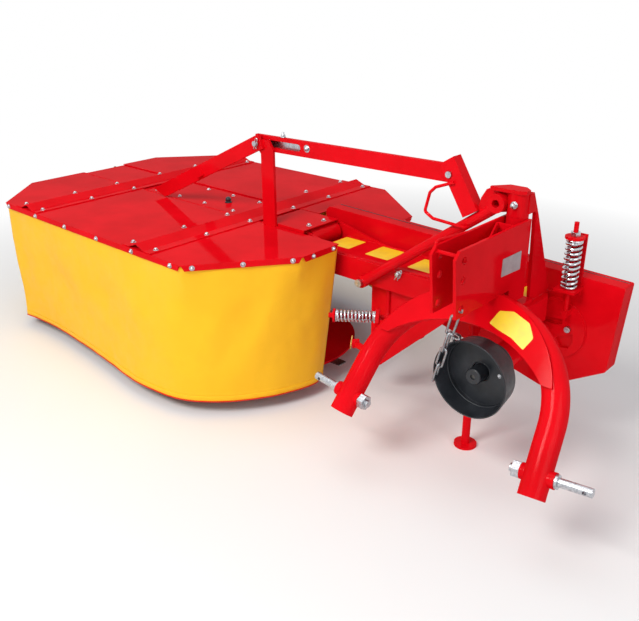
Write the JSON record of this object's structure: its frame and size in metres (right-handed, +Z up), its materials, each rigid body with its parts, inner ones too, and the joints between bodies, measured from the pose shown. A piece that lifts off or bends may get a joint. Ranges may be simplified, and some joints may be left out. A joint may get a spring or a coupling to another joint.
{
  "type": "drum mower",
  "caption": "Tractor-mounted drum mower with a canvas-skirted cutter bar hinged to an arched three-point hitch and a belt drive.",
  "frame": {"origin": "on the ground under the middle of the whole machine's box", "axes": "+X across the tractor towards the hitch, with the cutter bar at -X; +Y rearwards, away from the tractor; +Z up"},
  "size_m": [3.0524, 1.329, 1.0678],
  "materials": {
    "red_paint": "glossy bright red enamel",
    "zinc_steel": "bright zinc plate",
    "knife_steel": "hardened spring steel, dark",
    "splined_steel": "machined steel with a film of grease",
    "black_guard": "black moulded plastic, satin",
    "yellow_canvas": "coated yellow cloth, faint weave",
    "skid_steel": "red paint, worn on the sole"
  },
  "bodies": {
    "hitch": {"hitch_arch": "red_paint", "hitch_pin_left": "zinc_steel", "hitch_pin_right": "zinc_steel", "arch_web": "red_paint", "mast_cheek_right": "red_paint", "mast_cheek_left": "red_paint", "mast_tube": "red_paint", "mast_cross_bar": "red_paint", "mast_insert": "red_paint", "mast_handle": "red_paint", "catch_bracket": "red_paint", "catch_rod": "zinc_steel", "catch_spring": "zinc_steel"},
    "carrier": {"carrier_head": "red_paint", "stay_eye": "red_paint", "stay_tube": "red_paint", "stay_pin": "zinc_steel", "lift_lever": "red_paint", "lever_loop": "red_paint", "lever_pin": "zinc_steel", "carrier_beam": "red_paint", "beam_side_front": "red_paint", "beam_side_rear": "red_paint", "pivot_plate": "red_paint", "rear_stay": "red_paint", "belt_housing": "red_paint", "belt_lid": "red_paint", "bearing_disc": "red_paint", "bearing_tube": "red_paint", "bearing_saddle": "red_paint", "disc_pin": "zinc_steel", "pto_shield": "black_guard", "tension_rod": "red_paint", "tension_nut": "zinc_steel", "tension_bracket": "red_paint", "tension_spring": "zinc_steel", "stand_sleeve": "red_paint", "catch_plate": "red_paint"},
    "cutter": {"gear_beam": "red_paint", "cover_strip": "red_paint", "gearbox_cover": "red_paint", "cover_front": "red_paint", "cover_rear": "red_paint", "ridge_inner": "red_paint", "ridge_outer": "red_paint", "canvas": "yellow_canvas", "link_post": "red_paint", "post_brace": "red_paint", "apex_pin": "zinc_steel"},
    "top_link": {"top_link": "red_paint"},
    "drum_inner": {"drum_inner": "red_paint", "knives_inner": "knife_steel"},
    "drum_outer": {"drum_outer": "red_paint", "knives_outer": "knife_steel"},
    "skid_inner": {"skid_inner": "skid_steel"},
    "skid_outer": {"skid_outer": "skid_steel"},
    "pto_shaft": {"pto_shaft": "splined_steel"},
    "stand": {"parking_stand": "red_paint"}
  },
  "joints": [
    {"name": "carrier_swing", "type": "hinge", "parent": "hitch", "child": "carrier", "pos_m": [1.0148, -0.0825, 0.902], "axis": [0, 0, 1], "range_deg": [-70, 0]},
    {"name": "cutter_tilt", "type": "hinge", "parent": "carrier", "child": "cutter", "pos_m": [0.06581, -0.0685, 0.612], "axis": [0, 1, 0], "range_deg": [0, 15]},
    {"name": "link_pivot", "type": "hinge", "parent": "carrier", "child": "top_link", "pos_m": [0.7688, -0.0875, 1.006], "axis": [0, 1, 0], "range_deg": [-0.2, 3.2]},
    {"name": "drum_inner_spin", "type": "hinge", "parent": "cutter", "child": "drum_inner", "pos_m": [-0.2202, 0.0075, 0.064], "axis": [0, 0, 1], "continuous": true},
    {"name": "drum_outer_spin", "type": "hinge", "parent": "cutter", "child": "drum_outer", "pos_m": [-1.0452, 0.0075, 0.064], "axis": [0, 0, 1], "continuous": true},
    {"name": "pto_spin", "type": "hinge", "parent": "carrier", "child": "pto_shaft", "pos_m": [1.02981, -0.3005, 0.421], "axis": [0, 1, 0], "continuous": true},
    {"name": "skid_inner_spin", "type": "hinge", "parent": "cutter", "child": "skid_inner", "pos_m": [-0.2202, 0.0075, 0], "axis": [0, 0, 1], "continuous": true},
    {"name": "skid_outer_spin", "type": "hinge", "parent": "cutter", "child": "skid_outer", "pos_m": [-1.0452, 0.0075, 0], "axis": [0, 0, 1], "continuous": true},
    {"name": "stand_slide", "type": "slide", "parent": "carrier", "child": "stand", "axis": [0, 0, 1], "range_m": [0, 0.2]}
  ],
  "couplings": [
    {"joint": "link_pivot", "follows": "cutter_tilt", "ratio": 0.185},
    {"joint": "drum_outer_spin", "follows": "drum_inner_spin", "ratio": -1},
    {"joint": "pto_spin", "follows": "drum_inner_spin", "ratio": 0.3}
  ]
}
